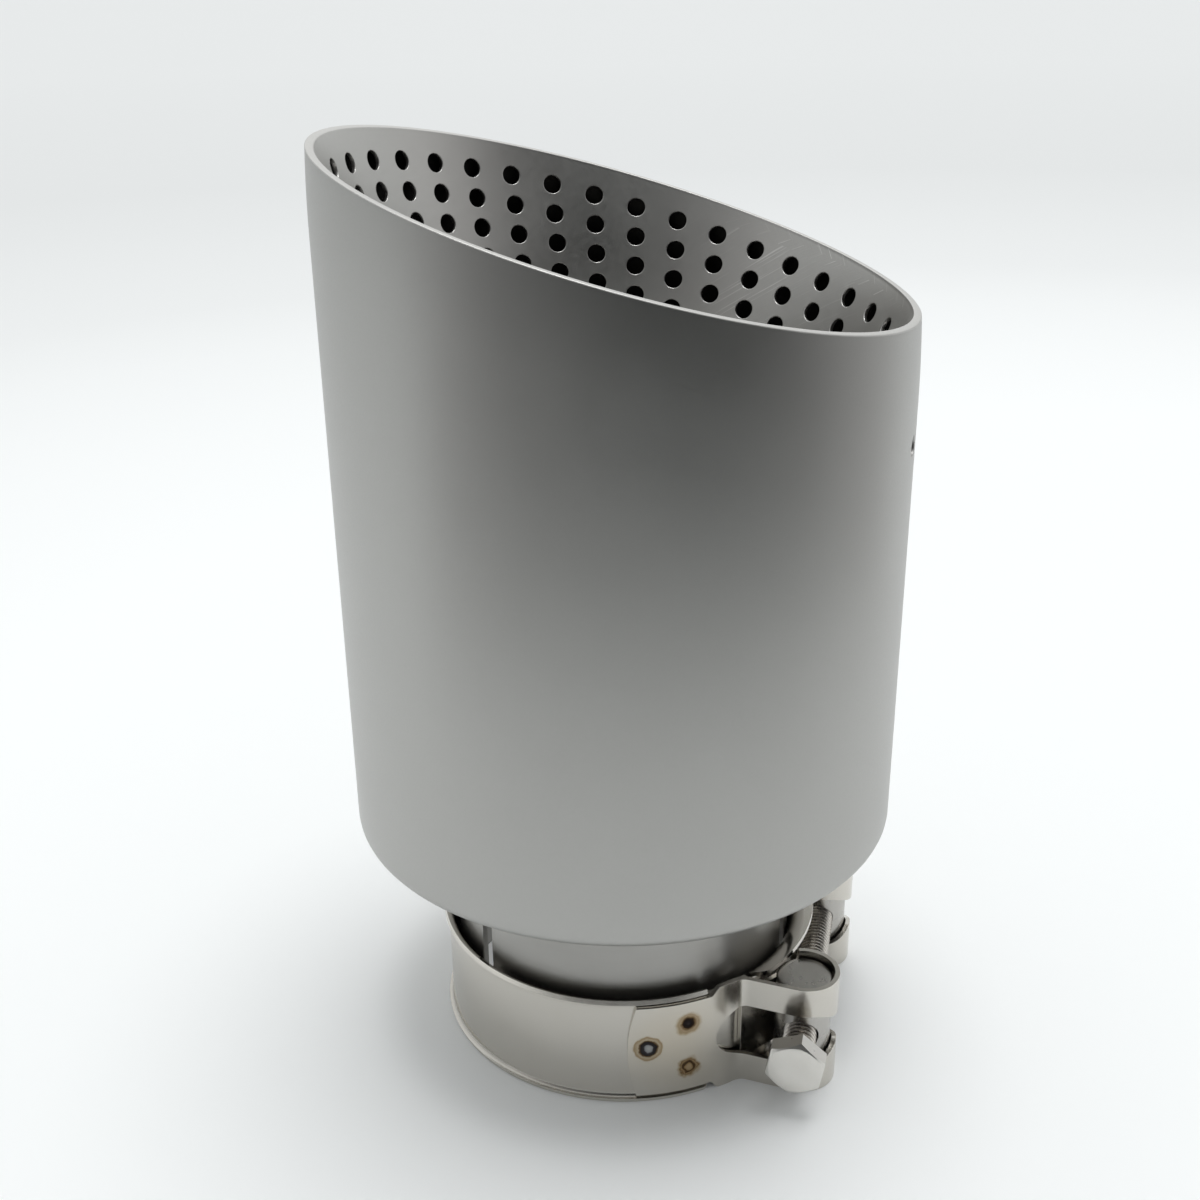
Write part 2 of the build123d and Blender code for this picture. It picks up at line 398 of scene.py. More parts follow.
def mark_edges(mesh, sharp_angle):
    """Smooth shading over the edges that bend by less than an angle."""
    for edge in mesh.edges:
        edge.smooth = edge.is_manifold and edge.calc_face_angle(0.0) < radians(sharp_angle)


def finish_piece(name, mesh, materials, node, slot, edge_round=0.0, segments=3, sharp_angle=crease_angle,
                 matrix=None):
    """Turns a mesh in millimetres into a smooth-shaded piece that stands for a CAD node."""
    bmesh.ops.remove_doubles(mesh, verts=mesh.verts, dist=weld_distance)
    bmesh.ops.delete(mesh, geom=[v for v in mesh.verts if not v.link_faces], context="VERTS")
    bmesh.ops.recalc_face_normals(mesh, faces=mesh.faces)
    mesh.transform(Matrix.Scale(MM, 4))
    for face in mesh.faces:
        face.smooth = True
    mark_edges(mesh, sharp_angle)
    piece = mesh_object(name, mesh)
    for material in materials:
        piece.data.materials.append(material)
    if matrix:
        piece.matrix_world = matrix
    if edge_round:
        bevel = piece.modifiers.new("edge_round", "BEVEL")
        bevel.width = edge_round * MM
        bevel.segments = segments
        bevel.limit_method = "ANGLE"
        bevel.angle_limit = radians(sharp_angle)
        bevel.harden_normals = True
    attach(piece, frame["nodes"][node]["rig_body"])
    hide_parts(node)
    return piece


# Material helpers


class Nodes:
    """A node tree with short calls for its nodes."""

    def __init__(self, tree):
        self.nodes = tree.nodes
        self.links = tree.links

    def feed(self, node, inputs):
        """Gives a node its inputs, as values or as other nodes' outputs."""
        for key, value in inputs.items():
            if isinstance(value, bpy.types.NodeSocket):
                self.links.new(value, node.inputs[key])
            else:
                node.inputs[key].default_value = value

    def add(self, kind, inputs=None, **settings):
        """A new node with its inputs and settings."""
        node = self.nodes.new(kind)
        for key, value in settings.items():
            setattr(node, key, value)
        self.feed(node, inputs or {})
        return node

    def place(self, coordinates="Object", scale=(1, 1, 1), turn=(0, 0, 0)):
        """Texture coordinates in metres, turned and stretched."""
        source = self.add("ShaderNodeTexCoord").outputs[coordinates]
        inputs = {"Vector": source, "Rotation": [radians(angle) for angle in turn], "Scale": scale}
        return self.add("ShaderNodeMapping", inputs).outputs["Vector"]

    def vector(self, operation, first, second, output="Value"):
        """A value or a vector from two vectors."""
        return self.add("ShaderNodeVectorMath", {0: first, 1: second}, operation=operation).outputs[output]

    def split(self, place):
        """The three parts of a place."""
        return self.add("ShaderNodeSeparateXYZ", {0: place}).outputs

    def join(self, x, y):
        """A place from its first two parts."""
        return self.add("ShaderNodeCombineXYZ", {0: x, 1: y, 2: 0.0}).outputs[0]

    def round_axis(self, place):
        """The distance from the piece's own Z axis, and the height along it."""
        x, y, z = self.split(place)
        return self.vector("LENGTH", self.join(x, y), (0, 0, 0)), z

    def noise(self, vector, scale, detail=2.0, roughness=0.5):
        """A noise value about 0.5."""
        inputs = {"Vector": vector, "Scale": scale, "Detail": detail, "Roughness": roughness}
        return self.add("ShaderNodeTexNoise", inputs).outputs["Fac"]

    def ramp(self, value, stops):
        """A colour ramp from stops of a position and a colour or grey level."""
        node = self.add("ShaderNodeValToRGB", {"Fac": value})
        while len(node.color_ramp.elements) < len(stops):
            node.color_ramp.elements.new(0.5)
        for element, (position, colour) in zip(node.color_ramp.elements, stops):
            element.position = position
            element.color = (*colour, 1) if isinstance(colour, tuple) else (colour, colour, colour, 1)
        return node.outputs["Color"]

    def share(self, value, start, end, low=0.0, high=1.0):
        """How far a value has come from start to end, carried to a range."""
        inputs = {"Value": value, "From Min": start, "From Max": end, "To Min": low, "To Max": high}
        return self.add("ShaderNodeMapRange", inputs).outputs["Result"]

    def between(self, noise, low, high):
        """A noise value's usual spread carried to a range."""
        return self.share(noise, 0.25, 0.75, low, high)

    def math(self, operation, first, second):
        """A value from two values."""
        return self.add("ShaderNodeMath", {0: first, 1: second}, operation=operation).outputs[0]

    def mix(self, factor, first, second, blend="MIX"):
        """A colour from two colours."""
        inputs = {0: factor, 6: first, 7: second}
        for index, value in inputs.items():
            inputs[index] = (*value, 1) if isinstance(value, tuple) else value
        return self.add("ShaderNodeMix", inputs, data_type="RGBA", blend_type=blend).outputs[2]

    def bump(self, height, distance, strength=1.0, normal=None):
        """A bumped normal, with the height's full range in millimetres."""
        inputs = {"Height": height, "Distance": distance * MM, "Strength": strength}
        if normal:
            inputs["Normal"] = normal
        return self.add("ShaderNodeBump", inputs).outputs["Normal"]


class Shader(Nodes):
    """A material with a principled shader."""

    def __init__(self, name, roughness=0.4, metallic=1.0):
        self.material = bpy.data.materials.new(name)
        self.material.use_nodes = True
        super().__init__(self.material.node_tree)
        self.set(Metallic=metallic, Roughness=roughness)

    def set(self, **sockets):
        """Gives the principled shader its inputs, with low lines for the spaces in their names."""
        inputs = {key.replace("_", " "): value for key, value in sockets.items()}
        self.feed(self.nodes["Principled BSDF"], inputs)
        return self.material


def satin_sleeve_material():
    """Fine blasted steel: a dense grain and faint clouds."""
    shader = Shader("satin_sleeve_steel")
    place = shader.place()
    grain = shader.noise(place, 3000, 3.0, 0.65)
    clouds = shader.noise(place, 60, 3.0, 0.55)
    colour = shader.mix(clouds, (0.425, 0.423, 0.408), (0.450, 0.447, 0.432))
    roughness = shader.math("ADD", shader.between(grain, -0.05, 0.05), shader.between(clouds, 0.39, 0.43))
    return shader.set(Base_Color=colour, Roughness=roughness, Normal=shader.bump(grain, 0.016, 0.6))


def ground_rim_material():
    """Steel ground by hand: brighter, with fine marks along the rim."""
    shader = Shader("ground_rim_steel")
    marks = shader.noise(shader.place(scale=(1, 1, 3)), 2600, 3.0, 0.6)
    waves = shader.noise(shader.place(), 240)
    colour = shader.mix(marks, (0.58, 0.573, 0.555), (0.70, 0.693, 0.675))
    roughness = shader.between(waves, 0.50, 0.60)
    return shader.set(Base_Color=colour, Roughness=roughness, Normal=shader.bump(marks, 0.02, 0.6))


def inner_wall_shade_material():
    """Painted shade inside the tube, behind the liner: a near black colour for the closed space there,
    mottled by a noise.
    """
    shader = Shader("inner_wall_painted_shade")
    scale = shader.noise(shader.place(), 350, 4.0, 0.65)
    # The colour is painted shade: near black, mottled by this noise
    colour = shader.mix(scale, (0.022, 0.021, 0.020), (0.050, 0.048, 0.046))
    roughness = shader.between(scale, 0.5, 0.7)
    return shader.set(Base_Color=colour, Roughness=roughness, Normal=shader.bump(scale, 0.05))


def satin_liner_material():
    """Satin steel with slanting sanding scratches, long and bright on the mouth's low side."""
    shader = Shader("satin_liner_steel")
    flat = shader.place("UV", turn=(0, 0, sanding_turn))
    fine = shader.noise(flat, 900)
    hair = shader.vector("MULTIPLY", flat, (40, 2600, 1), "Vector")
    scratches = shader.noise(hair, 1.0, 3.0, 0.6)
    place = shader.place()
    sanded = shader.share(shader.split(place)[0], sanded_from_x * MM, sanded_full_x * MM)
    bright = shader.ramp(scratches, [(0.0, 0.0), (0.61, 0.0), (0.70, 1.0)])
    bright = shader.math("MULTIPLY", bright, sanded)
    clouds = shader.noise(place, 55, 3.0, 0.55)
    colour = shader.mix(clouds, (0.55, 0.54, 0.52), (0.60, 0.595, 0.575))
    colour = shader.mix(bright, colour, (0.80, 0.79, 0.77))
    roughness = shader.math("ADD", shader.between(clouds, 0.32, 0.37), shader.between(fine, -0.03, 0.03))
    normal = shader.bump(shader.math("MULTIPLY", scratches, sanded), 0.03, 0.6)
    return shader.set(Base_Color=colour, Roughness=roughness, Normal=shader.bump(fine, 0.006, 0.4, normal))


def satin_neck_material():
    """Drawn tube with faint marks round it."""
    shader = Shader("satin_neck_steel")
    drawn = shader.noise(shader.place("UV", (60, 2200, 1)), 1.0, 3.0, 0.55)
    clouds = shader.noise(shader.place(), 70, 3.0, 0.5)
    colour = shader.mix(clouds, (0.38, 0.373, 0.355), (0.42, 0.412, 0.395))
    roughness = shader.between(drawn, 0.34, 0.43)
    return shader.set(Base_Color=colour, Roughness=roughness, Normal=shader.bump(drawn, 0.010, 0.4))


def polished_strip_material(name, welds=()):
    """Polished strip with rolling marks along it, and heat tints round its spot welds."""
    shader = Shader(name)
    rolled = shader.noise(shader.place("UV", (45, 1900, 1)), 1.0, 3.0, 0.6)
    smears = shader.noise(shader.place(), 130, 3.0, 0.6)
    colour = shader.mix(smears, (0.600, 0.574, 0.525), (0.650, 0.625, 0.578))
    roughness = shader.math("ADD", shader.between(smears, 0.15, 0.24), shader.between(rolled, -0.03, 0.03))
    normal = shader.bump(rolled, 0.006, 0.4)
    place = shader.place()
    ragged = shader.noise(place, 430, 3.0, 0.6)
    for centre, look in welds:
        away = shader.vector("DISTANCE", place, [value * MM for value in centre])
        away = shader.math("MULTIPLY", away, 1 / (spot_weld_r * MM))
        warm = [(0.0, (0.985, 0.955, 0.90)), (1.0, (1.0, 1.0, 1.0))]
        warm = shader.ramp(shader.math("MULTIPLY", away, 0.3), warm)
        colour = shader.mix(1.0, colour, warm, "MULTIPLY")
        reach = 0.26 if look == "brown" else 0.12
        away = shader.math("ADD", away, shader.between(ragged, -reach, reach))
        colour = shader.mix(1.0, colour, shader.ramp(away, weld_looks[look]), "MULTIPLY")
        dent = shader.ramp(away, [(0.0, 0.35), (0.2, 0.0), (0.44, 1.0), (0.56, 0.8), (1.0, 0.8)])
        normal = shader.bump(dent, 0.10, 0.8, normal)
        burnt = shader.ramp(away, [(0.0, 0.30), (0.4, 0.30), (0.7, 0.0)])
        roughness = shader.math("ADD", roughness, burnt)
    return shader.set(Base_Color=colour, Roughness=roughness, Normal=normal)


def turned_steel_material():
    """Turned barrel ends and sides with rings round the barrel's axis."""
    shader = Shader("turned_steel")
    place = shader.place()
    radius, height = shader.round_axis(place)
    rings = shader.noise(shader.join(radius, height), 1900)
    smears = shader.noise(place, 170, 3.0, 0.55)
    colour = shader.mix(smears, (0.42, 0.405, 0.38), (0.54, 0.525, 0.50))
    roughness = shader.between(smears, 0.22, 0.32)
    return shader.set(Base_Color=colour, Roughness=roughness, Normal=shader.bump(rings, 0.0005, 0.5))


def bolt_material():
    """Bright steel with a fine pressed grain."""
    shader = Shader("bolt_steel")
    place = shader.place()
    grain = shader.noise(place, 2600, 3.0, 0.6)
    smears = shader.noise(place, 220, 3.0, 0.6)
    colour = shader.mix(smears, (0.66, 0.64, 0.60), (0.76, 0.745, 0.71))
    roughness = shader.between(smears, 0.26, 0.36)
    return shader.set(Base_Color=colour, Roughness=roughness, Normal=shader.bump(grain, 0.004, 0.4))


def thread_material():
    """The screw's thread: bright crests over roots darkened to brown with painted shade."""
    shader = Shader("thread_steel")
    place = shader.place()
    radius = shader.round_axis(place)[0]
    share = shader.share(radius, (bolt_d / 2 - bolt_thread_depth) * MM, bolt_d / 2 * MM)
    high = shader.ramp(share, [(0.0, 0.0), (0.35, 0.1), (0.9, 1.0)])
    smears = shader.noise(place, 260, 3.0, 0.6)
    crest = shader.mix(smears, (0.62, 0.575, 0.52), (0.80, 0.775, 0.73))
    # Painted shade: the colour falls to a near black brown in the thread's roots
    colour = shader.mix(high, (0.09, 0.07, 0.055), crest)
    return shader.set(Base_Color=colour, Roughness=shader.between(smears, 0.22, 0.34))


# Outer sleeve


def sleeve_curl(depth):
    """How far the tube closes in near its mouth."""
    return mouth_curl * max(0.0, 1 - depth / mouth_curl_height) ** 2


def liner_inside(angle, depth):
    """Radius and height of the funnel's inside at a depth below the mouth, or at the rim's seam."""
    x, y, z = funnel_point(angle, rim_seam_depth, 0)
    radius = hypot(x, y)
    if depth is None:
        return radius, z
    lean = funnel_lean(angle)
    tilt = mouth_slope * cos(radians(angle))
    rise = (mouth_mid_z - depth - tilt * radius - z) / (1 + tilt * lean)
    return radius + lean * rise, z + rise


def sleeve_point(angle, row, side):
    """A point of the sleeve: row is a part of its outline and a value there."""
    part, value = row
    if part == "base":
        radius, z = value, sleeve_base_z + sleeve_wall * side
    elif part == "bend":
        bend_r = sleeve_bend_r - sleeve_wall * side
        radius = sleeve_outer_r - sleeve_bend_r + bend_r * sin(radians(value))
        z = sleeve_base_z + sleeve_bend_r - bend_r * cos(radians(value))
    elif part == "wall":
        radius, z = sleeve_outer_r - sleeve_wall * side, value
    elif part == "upper":
        radius = sleeve_outer_r - sleeve_wall * side
        top = mouth_z(sleeve_outer_r, angle) - mouth_curl_height
        z = upper_start_z + value * (top - upper_start_z)
    elif part == "depth":
        radius = sleeve_outer_r - sleeve_curl(value) - sleeve_wall * side
        z = mouth_z(radius, angle) - value
    elif part == "bead" and side:
        seam_r, seam_z = liner_inside(angle, None)
        top_r, top_z = liner_inside(angle, rim_inner_round)
        radius = seam_r + (top_r - seam_r) * value
        z = seam_z + (top_z - seam_z) * value
    elif part == "bead":
        depth = rim_seam_depth + (rim_outer_round - rim_seam_depth) * value
        radius = sleeve_outer_r - sleeve_curl(depth)
        z = mouth_z(radius, angle) - depth
    else:
        rim_round = rim_inner_round if side else rim_outer_round
        inward = rim_round * (1 - cos(radians(value)))
        if side:
            radius = liner_inside(angle, rim_inner_round)[0] + inward
        else:
            radius = sleeve_outer_r - sleeve_curl(rim_outer_round) - inward
        z = mouth_z(radius, angle) - rim_round * (1 - sin(radians(value)))
    return (*polar(radius, angle), z)


# The sleeve's grid: blocks of cells round it, one of them for the drain hole, and rows up its outline
sleeve_blocks = 64
block_steps = 4
block_height = 5.0
base_steps, bend_steps, wall_steps, upper_steps, bead_steps, rim_steps = 8, 6, 16, 8, 4, 5
curl_depths = (11.5, 9.0, 6.8, 5.0, 3.6, 2.6, rim_seam_depth + sheet_gap)
upper_start_z = drain_hole_z + block_height / 2
sleeve_first_angle = drain_hole_angle - 180 / sleeve_blocks
sleeve_columns = sleeve_blocks * block_steps
sleeve_angles = [sleeve_first_angle + step * 360 / sleeve_columns for step in range(sleeve_columns)]
hole_heights = spread(drain_hole_z - block_height / 2, upper_start_z, block_steps + 1)
sleeve_parts = (
    ("base", spread(neck_hole_r, sleeve_outer_r - sleeve_bend_r, base_steps)),
    ("bend", spread(90 / bend_steps, 90, bend_steps)),
    ("wall", spread(sleeve_base_z + sleeve_bend_r, hole_heights[0], wall_steps)[1:-1]),
    ("wall", hole_heights),
    ("upper", spread(1 / upper_steps, 1, upper_steps)),
    ("depth", curl_depths),
    ("bead", spread(0, 1, bead_steps)),
    ("rim", spread(90 / rim_steps, 90, rim_steps)),
)
sleeve_rows = [(part, value) for part, values in sleeve_parts for value in values]
hole_first_row = sleeve_rows.index(("wall", hole_heights[0]))
bead_first_row = [part for part, value in sleeve_rows].index("bead")
rim_first_row = bead_first_row + bead_steps


def sleeve_tint(row, side):
    """Material index: 0 outside, 1 on the ground rim, 2 painted shade inside the tube, 3 above the liner.
    """
    if row >= rim_first_row - 1:
        return 1
    if side == 0:
        return 0
    return 3 if row >= bead_first_row else 2


def sleeve_cell(column, row):
    """Every cell of the sleeve is sheet, apart from the block round the drain hole."""
    in_rows = hole_first_row <= row < hole_first_row + block_steps
    return "hole" if column < block_steps and in_rows else "sheet"


def make_sleeve(liner_steel):
    """The outer tube, turned in at its base, with its slanted and ground mouth."""
    mesh = bmesh.new()
    flat = unrolled(funnel_mouth_r, [value for part, value in sleeve_rows])
    grid = add_sheet(mesh, sleeve_point, flat, sleeve_angles, sleeve_rows, 360, sleeve_cell, sleeve_tint)
    block = (0, hole_first_row, sleeve_angles[: block_steps + 1], hole_heights)
    centre = (drain_hole_angle, drain_hole_z)

    def wall_point(angle, z, depth):
        return sleeve_point(angle, ("wall", z), depth)

    add_hole(mesh, grid, wall_point, block, centre, drain_hole_d / 2, sleeve_wall)
    materials = (satin_sleeve_material(), ground_rim_material(), inner_wall_shade_material(), liner_steel)
    names = ("outer_sleeve", "satin_sleeve")
    finish_piece("sleeve_skin", mesh, materials, *names, sharp_angle=tube_crease_angle)


# Perforated funnel


def funnel_lean(angle):
    """How far the funnel narrows for each millimetre of depth."""
    foot_depth = mouth_z(funnel_mouth_r, angle) - funnel_foot_z
    return (funnel_mouth_r - neck_outer_r) / foot_depth


def funnel_point(angle, depth, side):
    """A point of the funnel at a depth below the mouth: side 0 is its inside."""
    rim_z = mouth_z(funnel_mouth_r, angle)
    foot_depth = rim_z - funnel_foot_z
    if depth > holed_depth:
        depth = holed_depth + (depth - holed_depth) * (foot_depth - holed_depth)
    lean = funnel_lean(angle)
    inward = funnel_wall * (1 - side) / hypot(1, lean)
    return (*polar(funnel_mouth_r - lean * depth - inward, angle), rim_z - depth + inward * lean)


# The funnel's grid: a square block of cells for each hole, and plain rows above and below
funnel_steps = 6
foot_steps = 10
column_angle = 360 / hole_columns


def funnel_angle(step):
    """The angle of a column of the funnel's grid."""
    return first_column_angle + (step / funnel_steps - 0.5) * column_angle


funnel_angles = [funnel_angle(step) for step in range(hole_columns * funnel_steps)]
holed_start = first_row_depth - row_pitch / 2
holed_depth = holed_start + hole_rows * row_pitch
funnel_depths = [rim_seam_depth, (rim_seam_depth + holed_start) / 2]
funnel_first_hole = len(funnel_depths)
funnel_depths += spread(holed_start, holed_depth, hole_rows * funnel_steps + 1)
funnel_depths += [holed_depth + share for share in spread(1 / foot_steps, 1, foot_steps)]


def funnel_cell(column, row):
    """The rows of holes fill the whole turn."""
    holed = funnel_first_hole <= row < funnel_first_hole + hole_rows * funnel_steps
    return "hole" if holed else "sheet"


def make_funnel(liner_steel):
    """The liner, with its rows of round holes along the rim."""
    mesh = bmesh.new()
    flat = unrolled(funnel_mouth_r, funnel_depths)
    grid = add_sheet(mesh, funnel_point, flat, funnel_angles, funnel_depths, 360, funnel_cell)
    for column in range(hole_columns):
        angles = [funnel_angle(column * funnel_steps + step) for step in range(funnel_steps + 1)]
        for row in range(hole_rows):
            first_row = funnel_first_hole + row * funnel_steps
            depths = funnel_depths[first_row : first_row + funnel_steps + 1]
            centre = (angles[funnel_steps // 2], depths[funnel_steps // 2])
            block = (column * funnel_steps, first_row, angles, depths)
            add_hole(mesh, grid, funnel_point, block, centre, hole_d / 2, funnel_wall)
    names = ("perforated_funnel", "satin_liner")
    finish_piece("funnel_skin", mesh, (liner_steel,), *names, sharp_angle=tube_crease_angle)


# Inlet neck


def make_neck():
    """The inlet tube with its slots."""
    mesh = bmesh.new()
    half_slot = degrees(slot_width / 2 / neck_outer_r)
    slot_steps, slot_rows, upper_rows = 40, 9, 11
    angles = []
    for index in range(slot_count):
        start = slot_angle + index * 360 / slot_count
        rest = spread(start + half_slot, start + 360 / slot_count - half_slot, slot_steps)
        angles += [start - half_slot] + rest[:-1]
    heights = spread(0, slot_length, slot_rows + 1) + spread(slot_length, neck_top_z, upper_rows + 1)[1:]

    def place(angle, z, side):
        return (*polar(neck_outer_r - neck_wall * side, angle), z)

    def cell(column, row):
        return "gap" if column % slot_steps == 0 and row < slot_rows else "sheet"

    add_sheet(mesh, place, unrolled(neck_outer_r, heights), angles, heights, 360, cell)
    names = ("inlet_neck", "satin_neck")
    finish_piece("neck_skin", mesh, (satin_neck_material(),), *names, neck_edge_round, segments=2)


# Clamp band and bridge tongue


class FlangedSection:
    """The section of a strip round the neck, with both of its edges bent outwards."""

    flat_steps, bend_steps = 7, 14

    def __init__(self, mid_r, thickness, bend_r, turn, straight):
        self.mid_r = mid_r
        self.bend_r = bend_r
        self.turn = radians(turn)
        self.flat = band_mid_z - (thickness / 2 + bend_r) * sin(self.turn) - straight * cos(self.turn)
        self.half = self.flat + bend_r * self.turn + straight

    def runs(self):
        """Distances along the section from its middle, closer together in the bends."""
        upper = spread(0, self.flat, self.flat_steps)[1:]
        upper += spread(self.flat, self.half, self.bend_steps)[1:]
        return [-run for run in upper[::-1]] + [0.0] + upper

    def at(self, run):
        """Radius, height and outer normal at a distance from the middle."""
        away = abs(run) - self.flat
        if away <= 0:
            return self.mid_r, band_mid_z + run, (1.0, 0.0)
        side = 1 if run > 0 else -1
        turn = min(away / self.bend_r, self.turn)
        straight = away - turn * self.bend_r
        radius = self.mid_r + self.bend_r * (1 - cos(turn)) + straight * sin(turn)
        z = band_mid_z + side * (self.flat + self.bend_r * sin(turn) + straight * cos(turn))
        return radius, z, (cos(turn), -side * sin(turn))


def make_band():
    """The strip round the neck, open on the bolt's side, with its lips ending under the straps."""
    section = FlangedSection(band_mid_r, band_thickness, band_lip_bend_r, band_lip_turn, band_lip_straight)
    runs = section.runs()

    def place(angle, run, side):
        past = abs((angle - clamp_angle + 180) % 360 - 180) - band_lip_end_angle
        lip = smooth_step(past / band_lip_end_run + 0.5)
        radius, z, normal = section.at(run)
        plain_z = band_mid_z + run / section.half * plate_width / 2
        offset = band_thickness * (0.5 - side)
        radius = band_mid_r + (radius - band_mid_r) * lip + (1 + (normal[0] - 1) * lip) * offset
        return (*polar(radius, angle), plain_z + (z + normal[1] * offset - plain_z) * lip)

    mesh = bmesh.new()
    around = 400
    angles = spread(clamp_angle + band_gap_half_angle, clamp_angle + 360 - band_gap_half_angle, around)
    add_sheet(mesh, place, unrolled(band_mid_r, runs), angles, runs)
    material = polished_strip_material("polished_band_steel")
    finish_piece("band_skin", mesh, (material,), "clamp_band", "polished_clamp", band_edge_round)


def make_tongue():
    """The flanged channel across the band's gap, with the tabs that tuck under the band."""
    bends = (tongue_flange_bend_r, tongue_flange_turn, tongue_flange_straight)
    section = FlangedSection(tongue_mid_r, tongue_thickness, *bends)
    runs = section.runs()

    def place(angle, run, side):
        off_end = radians(tongue_half_angle - abs(angle - clamp_angle)) * tongue_mid_r
        if off_end < -weld_distance:
            radius, normal = tongue_mid_r, (1.0, 0.0)
            z = band_mid_z + run / section.half * return_width / 2
        else:
            short = max(0.0, tongue_corner_r - off_end)
            cut = tongue_corner_r - sqrt(max(0.0, tongue_corner_r**2 - short**2))
            radius, z, normal = section.at(run * (1 - cut / section.half))
        offset = tongue_thickness * (0.5 - side)
        return (*polar(radius + normal[0] * offset, angle), z + normal[1] * offset)

    mesh = bmesh.new()
    tab_steps, corner_steps, middle_steps, tab_start = 12, 9, 60, 0.1
    tab = spread(tongue_half_angle + tab_start, tongue_tab_half_angle, tab_steps)
    corner = degrees(tongue_corner_r / tongue_mid_r)
    ends = [tongue_half_angle - corner * (1 - cos(radians(turn))) for turn in spread(0, 90, corner_steps)]
    outer = tab[::-1] + ends
    middle = spread(-ends[-1], ends[-1], middle_steps)[1:-1]
    angles = [clamp_angle + angle for angle in [-angle for angle in outer] + middle + outer[::-1]]
    add_sheet(mesh, place, unrolled(tongue_mid_r, runs), angles, runs)
    material = polished_strip_material("polished_tongue_steel")
    finish_piece("tongue_skin", mesh, (material,), "bridge_tongue", "polished_clamp", band_edge_round)


# Loop straps


class StrapPath:
    """The middle line of the head side's strap seen along Z, in the clamp's own frame.

    It runs from the plate's free end along the band, off it, round the trunnion and back.
    """

    def __init__(self):
        bend_x, bend_y = polar(strap_mid_r + arm_bend_r, -plate_leave_angle)
        reach_x, reach_y = trunnion_x - bend_x, -trunnion_y - bend_y
        reach = hypot(reach_x, reach_y)
        bends_r = arm_bend_r + loop_mid_r
        arm = degrees(atan2(reach_y, reach_x) - asin(bends_r / reach))
        touch_r = strap_mid_r + loop_mid_r
        back = -trunnion_half_angle - degrees(acos(touch_r / trunnion_circle_r))
        # An arc's radius and its turn to the left, or a line's length and no turn
        self.stretches = (
            (strap_mid_r, plate_end_angle - plate_leave_angle),
            (arm_bend_r, arm - 90 + plate_leave_angle),
            (sqrt(reach**2 - bends_r**2), 0),
            (loop_mid_r, back + 270 - arm),
            (sqrt(trunnion_circle_r**2 - touch_r**2), 0),
            (strap_mid_r, -return_tail_angle),
        )
        self.lengths = [size * radians(abs(turn)) if turn else size for size, turn in self.stretches]
        self.starts = [sum(self.lengths[:index]) for index in range(len(self.lengths) + 1)]
        self.plate_end = self.starts[1]
        self.loop_start, self.loop_end = self.starts[3:5]
        self.end = self.starts[-1]

    def at(self, run):
        """The point, and the unit normal on the strap's outer side, at a distance along the line."""
        left = min(max(run, 0.0), self.end)
        x, y = polar(strap_mid_r, -plate_end_angle)
        heading = 90 - plate_end_angle
        for (size, turn), length in zip(self.stretches, self.lengths):
            share = min(left / length, 1.0)
            chord = 2 * size * sin(radians(abs(turn) * share / 2)) if turn else size * share
            step_x, step_y = polar(chord, heading + turn * share / 2)
            x, y = x + step_x, y + step_y
            heading += turn * share
            left = max(left - length, 0.0)
        # The outer side is on the right of the way along
        return (x, y), polar(1, heading - 90)

    def run_at_x(self, x):
        """The distance along the plate or the arm at which the line passes x."""
        low, high, halvings = 0.0, self.loop_start, 40
        for _ in range(halvings):
            middle = (low + high) / 2
            if self.at(middle)[0][0] < x:
                low = middle
            else:
                high = middle
        return (low + high) / 2


strap_path = StrapPath()
window_start_x = polar(strap_outer_r, window_start_angle)[0]
window_tip = strap_path.run_at_x(window_start_x)


def strap_columns():
    """Distances along the strap: the ends of its stretches, the window's round end and even steps."""
    round_steps, even_steps, least_step = 16, 170, 0.15
    fixed = list(strap_path.starts)
    for turn in spread(0, 90, round_steps):
        fixed.append(strap_path.run_at_x(window_start_x + window_width / 2 * (1 - cos(radians(turn)))))
    even = spread(0, strap_path.end, even_steps)
    even = [run for run in even if min(abs(run - other) for other in fixed) > least_step]
    return sorted(set(round(run, 5) for run in fixed + even))


def strap_half_widths(run):
    """Half of the strap's width, and half of its window's width, at a distance along it."""
    (x, y), _ = strap_path.at(run)
    radius = hypot(x, y)
    half = band_width / 2
    if run < strap_path.loop_start:
        past = radius * radians(degrees(atan2(y, x)) + shoulder_angle)
        half += (plate_width / 2 - half) * (1 - smooth_step(past / shoulder_length + 0.5))
    elif run > (strap_path.loop_start + strap_path.loop_end) / 2:
        half += (return_width / 2 - half) * smooth_step((return_nest_r - radius) / return_step_run + 0.5)
    window = 0.0
    if window_tip + weld_distance < run < strap_path.loop_end + weld_distance:
        reach = min(trunnion_x + window_reach - x, window_width / 2)
        if run < strap_path.loop_start:
            reach = min(x - window_start_x, reach)
        window = sqrt(max(0.0, (window_width / 2) ** 2 - (window_width / 2 - reach) ** 2))
    return half, window


